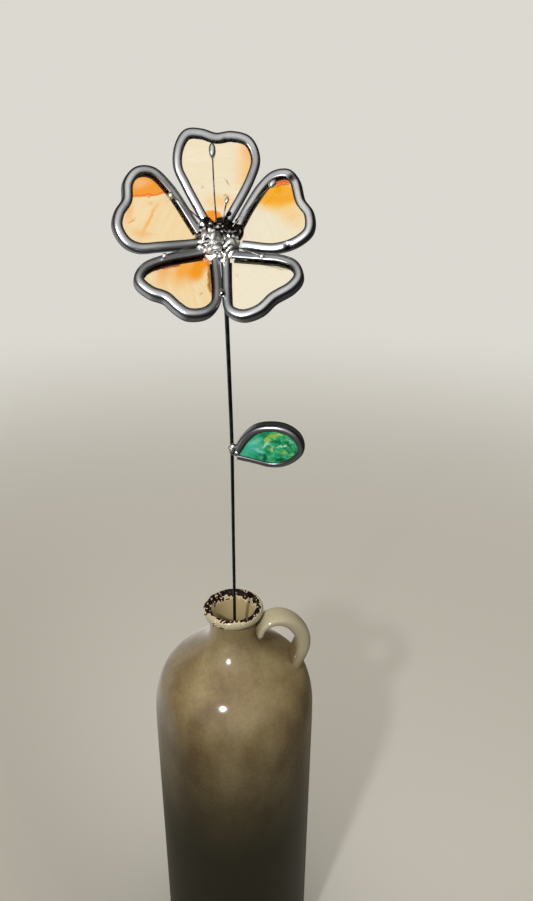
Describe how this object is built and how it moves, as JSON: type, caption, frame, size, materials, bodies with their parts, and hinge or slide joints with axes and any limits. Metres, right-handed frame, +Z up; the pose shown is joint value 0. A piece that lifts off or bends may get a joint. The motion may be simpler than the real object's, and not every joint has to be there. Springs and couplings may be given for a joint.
{
  "type": "leaded glass flower in a stoneware bottle",
  "caption": "Glass flower with heart-shaped petals in lead came, with a glass leaf, on a bent wire stem that rests in a glazed stoneware bottle with a loop handle.",
  "frame": {"origin": "centre of the bottle's flat foot", "axes": "+Z up, +X to the right seen from the front, -Y towards the viewer, whom the flower faces"},
  "size_m": [0.116, 0.1903, 0.6312],
  "materials": {
    "stoneware_glaze": "glossy olive-beige glaze on fired stoneware",
    "steel_wire": "dark drawn steel wire, satin",
    "lead_came": "grey lead came, satin",
    "solder": "shiny lumpy solder",
    "solder_wire": "tinned wire with shiny drops",
    "opalescent_glass": "mottled green opalescent sheet glass",
    "glass_top": "streaky amber and cream cathedral glass",
    "glass_upper_right": "streaky amber and cream cathedral glass",
    "glass_lower_right": "streaky amber and cream cathedral glass",
    "glass_lower_left": "streaky amber and cream cathedral glass",
    "glass_upper_left": "streaky amber and cream cathedral glass"
  },
  "bodies": {
    "root": {"bottle": "stoneware_glaze", "stem_wire": "steel_wire", "petal_came_top": "lead_came", "petal_glass_top": "glass_top", "petal_came_upper_right": "lead_came", "petal_glass_upper_right": "glass_upper_right", "petal_came_lower_right": "lead_came", "petal_glass_lower_right": "glass_lower_right", "petal_came_lower_left": "lead_came", "petal_glass_lower_left": "glass_lower_left", "petal_came_upper_left": "lead_came", "petal_glass_upper_left": "glass_upper_left", "center_solder": "solder", "seam_solder": "solder", "stamen_a": "solder_wire", "stamen_b": "solder_wire", "stamen_c": "solder_wire", "stamen_d": "solder_wire", "stamen_e": "solder_wire", "stamen_f": "solder_wire", "leaf_came": "lead_came", "leaf_glass": "opalescent_glass", "leaf_solder": "solder"}
  },
  "joints": []
}
